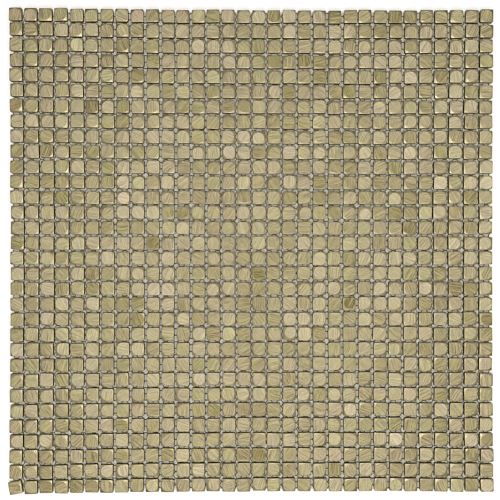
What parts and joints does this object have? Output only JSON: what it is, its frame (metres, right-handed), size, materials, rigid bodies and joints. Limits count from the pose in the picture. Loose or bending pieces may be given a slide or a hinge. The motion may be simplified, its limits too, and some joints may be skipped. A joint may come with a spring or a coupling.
{
  "type": "metal mosaic tile",
  "caption": "Square mosaic sheet of small brass chips with sanded faces, laid by hand in a grid on an open thread net, ready to bed in adhesive on a wall or floor.",
  "frame": {"origin": "under the middle of the sheet, at the back of the net", "axes": "+X along the rows, +Y towards the first row, +Z out of the chips' sanded faces"},
  "size_m": [0.3008, 0.302, 0.0054],
  "materials": {
    "brass_chip": "sanded, with a dark patina on the sides",
    "net_thread": "coated glass thread"
  },
  "bodies": {
    "root": {"chip_row_01": "brass_chip", "chip_row_02": "brass_chip", "chip_row_03": "brass_chip", "chip_row_04": "brass_chip", "chip_row_05": "brass_chip", "chip_row_06": "brass_chip", "chip_row_07": "brass_chip", "chip_row_08": "brass_chip", "chip_row_09": "brass_chip", "chip_row_10": "brass_chip", "chip_row_11": "brass_chip", "chip_row_12": "brass_chip", "chip_row_13": "brass_chip", "chip_row_14": "brass_chip", "chip_row_15": "brass_chip", "chip_row_16": "brass_chip", "chip_row_17": "brass_chip", "chip_row_18": "brass_chip", "chip_row_19": "brass_chip", "chip_row_20": "brass_chip", "chip_row_21": "brass_chip", "chip_row_22": "brass_chip", "chip_row_23": "brass_chip", "chip_row_24": "brass_chip", "chip_row_25": "brass_chip", "chip_row_26": "brass_chip", "chip_row_27": "brass_chip", "chip_row_28": "brass_chip", "chip_row_29": "brass_chip", "chip_row_30": "brass_chip", "chip_row_31": "brass_chip", "chip_row_32": "brass_chip", "net_warp_threads": "net_thread", "net_weft_threads": "net_thread"}
  },
  "joints": []
}
